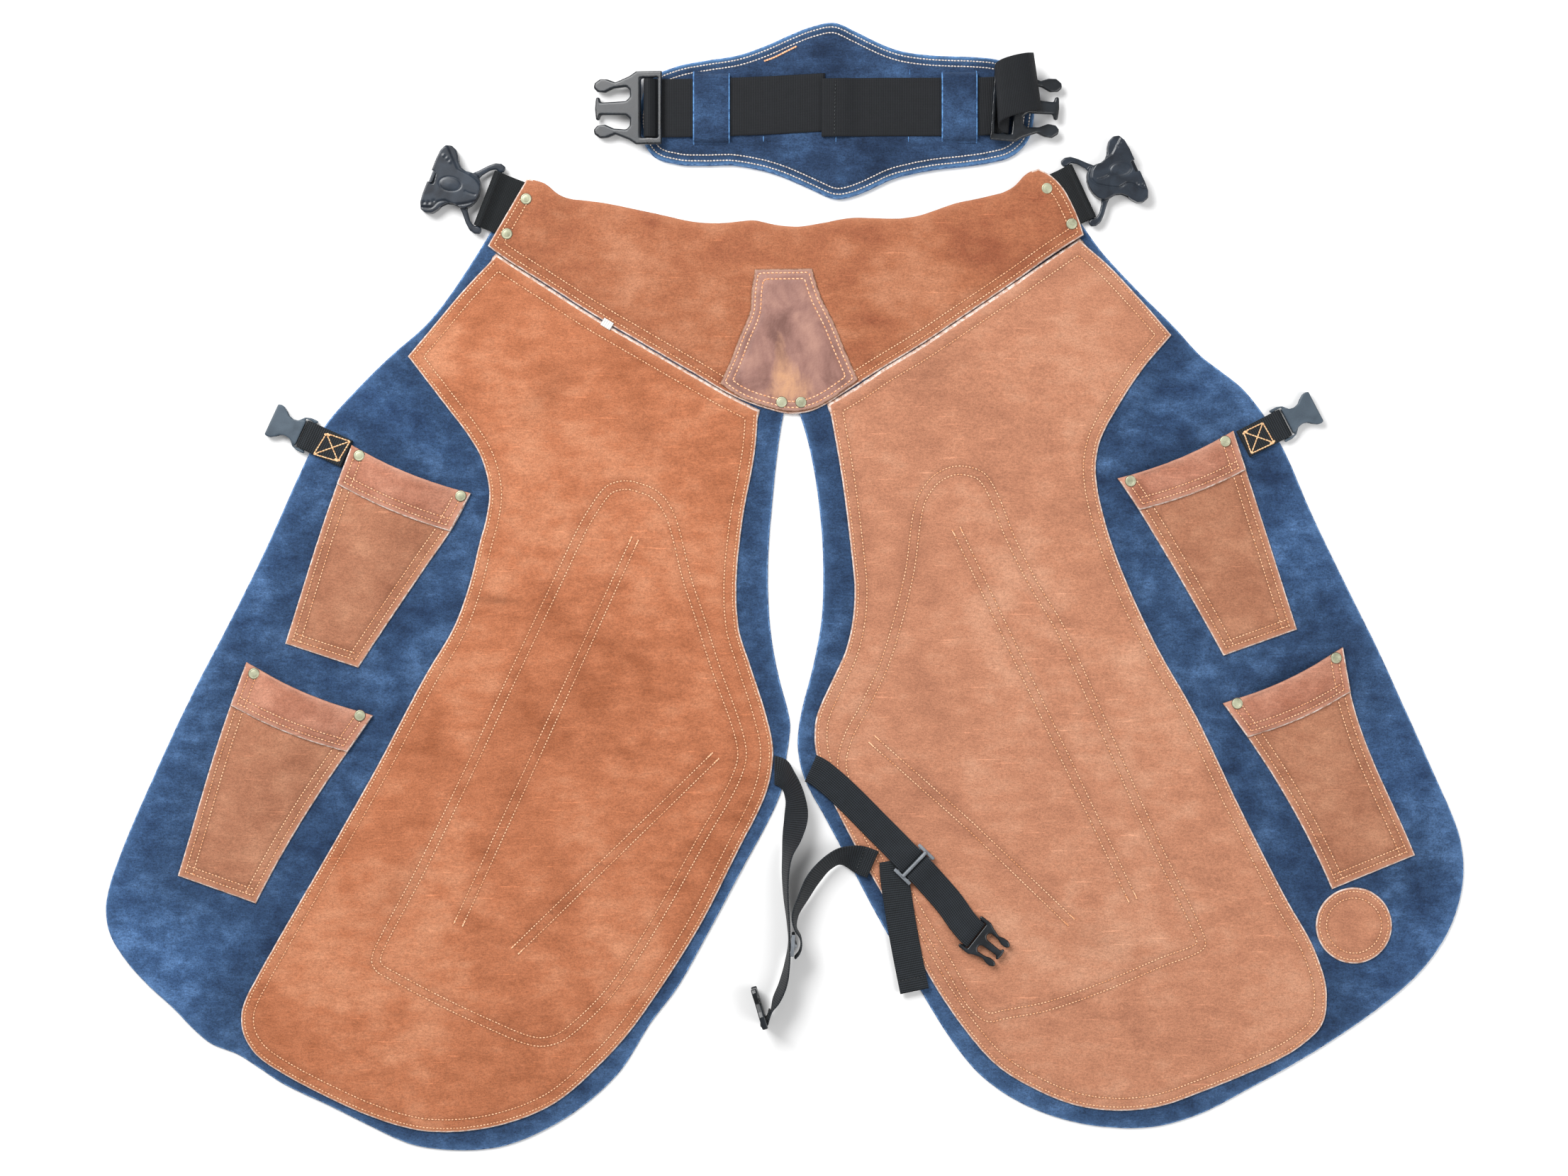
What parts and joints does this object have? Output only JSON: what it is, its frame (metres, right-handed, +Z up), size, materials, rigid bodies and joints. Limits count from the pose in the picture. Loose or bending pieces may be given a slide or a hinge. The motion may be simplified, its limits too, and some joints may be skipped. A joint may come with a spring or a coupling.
{
  "type": "farrier apron",
  "caption": "Split-leg suede work apron laid flat, with patch pockets, waist buckles, leg straps with clips and a detached padded back belt.",
  "frame": {"origin": "centre of the laid-out apron and belt on the surface they lie on", "axes": "+Z up from the surface, +Y towards the waist, +X towards the picture's right leg"},
  "size_m": [1.1676, 0.9694, 0.0332],
  "materials": {
    "navy_leather": "napped suede",
    "orange_leather": "napped suede",
    "brown_leather": "oiled pull-up leather",
    "webbing": "ribbed woven",
    "slate_plastic": "moulded",
    "black_plastic": "moulded",
    "grey_plastic": "moulded",
    "rivet_metal": "nickel plated, worn",
    "ribbon": "woven satin"
  },
  "bodies": {
    "apron": {"leg_panel_left": "navy_leather", "leg_panel_right": "navy_leather", "back_pad": "navy_leather", "belt_keeper_left": "navy_leather", "belt_keeper_right": "navy_leather", "leg_patch_left": "orange_leather", "leg_patch_right": "orange_leather", "waistband": "orange_leather", "round_patch": "orange_leather", "pocket_front_upper_left": "orange_leather", "pocket_front_lower_left": "orange_leather", "pocket_front_upper_right": "orange_leather", "pocket_front_lower_right": "orange_leather", "pocket_cuff_upper_left": "orange_leather", "pocket_cuff_lower_left": "orange_leather", "pocket_cuff_upper_right": "orange_leather", "pocket_cuff_lower_right": "orange_leather", "crotch_patch": "brown_leather", "waist_webbing_left": "webbing", "waist_webbing_right": "webbing", "thigh_webbing_left": "webbing", "thigh_webbing_right": "webbing", "leg_strap_left": "webbing", "leg_strap_right": "webbing", "strap_tail_left": "webbing", "strap_tail_right": "webbing", "belt_webbing_left": "webbing", "belt_webbing_right": "webbing", "belt_clip_left": "black_plastic", "belt_clip_right": "black_plastic", "triglide_left": "grey_plastic", "triglide_right": "grey_plastic", "waist_rivet_left_upper": "rivet_metal", "waist_rivet_left_lower": "rivet_metal", "waist_rivet_right_upper": "rivet_metal", "waist_rivet_right_lower": "rivet_metal", "rivet_crotch_left": "rivet_metal", "rivet_crotch_right": "rivet_metal", "pocket_rivet_upper_left_outer": "rivet_metal", "pocket_rivet_upper_left_inner": "rivet_metal", "pocket_rivet_lower_left_outer": "rivet_metal", "pocket_rivet_lower_left_inner": "rivet_metal", "pocket_rivet_upper_right_outer": "rivet_metal", "pocket_rivet_upper_right_inner": "rivet_metal", "pocket_rivet_lower_right_outer": "rivet_metal", "pocket_rivet_lower_right_inner": "rivet_metal", "size_label": "ribbon"},
    "waist_buckle_left": {"waist_buckle_left": "slate_plastic"},
    "waist_buckle_right": {"waist_buckle_right": "slate_plastic"},
    "thigh_buckle_left": {"thigh_buckle_left": "slate_plastic"},
    "thigh_buckle_right": {"thigh_buckle_right": "slate_plastic"},
    "leg_clip_left": {"leg_clip_left": "black_plastic"},
    "leg_clip_right": {"leg_clip_right": "black_plastic"}
  },
  "joints": [
    {"name": "waist_buckle_left_hinge", "type": "hinge", "parent": "apron", "child": "waist_buckle_left", "pos_m": [-0.2538, 0.3325, 0.0065], "axis": [0.3633, 0.9317, 0], "range_deg": [0, 120]},
    {"name": "waist_buckle_right_hinge", "type": "hinge", "parent": "apron", "child": "waist_buckle_right", "pos_m": [0.2529, 0.3384, 0.0065], "axis": [0.4226, -0.9063, 0], "range_deg": [0, 120]},
    {"name": "thigh_buckle_left_hinge", "type": "hinge", "parent": "apron", "child": "thigh_buckle_left", "pos_m": [-0.4092, 0.1292, 0.004], "axis": [0.4194, 0.9078, 0], "range_deg": [0, 120]},
    {"name": "thigh_buckle_right_hinge", "type": "hinge", "parent": "apron", "child": "thigh_buckle_right", "pos_m": [0.4254, 0.1387, 0.004], "axis": [0.4618, -0.887, 0], "range_deg": [0, 120]},
    {"name": "leg_clip_right_hinge", "type": "hinge", "parent": "apron", "child": "leg_clip_right", "pos_m": [0.1616, -0.2975, 0.0084], "axis": [-0.6157, -0.788, 0], "range_deg": [0, 98]},
    {"name": "leg_clip_left_hinge", "type": "hinge", "parent": "apron", "child": "leg_clip_left", "pos_m": [-0.0175, -0.3735, 0.0167], "axis": [0, 0, 1], "range_deg": [0, 90]}
  ]
}
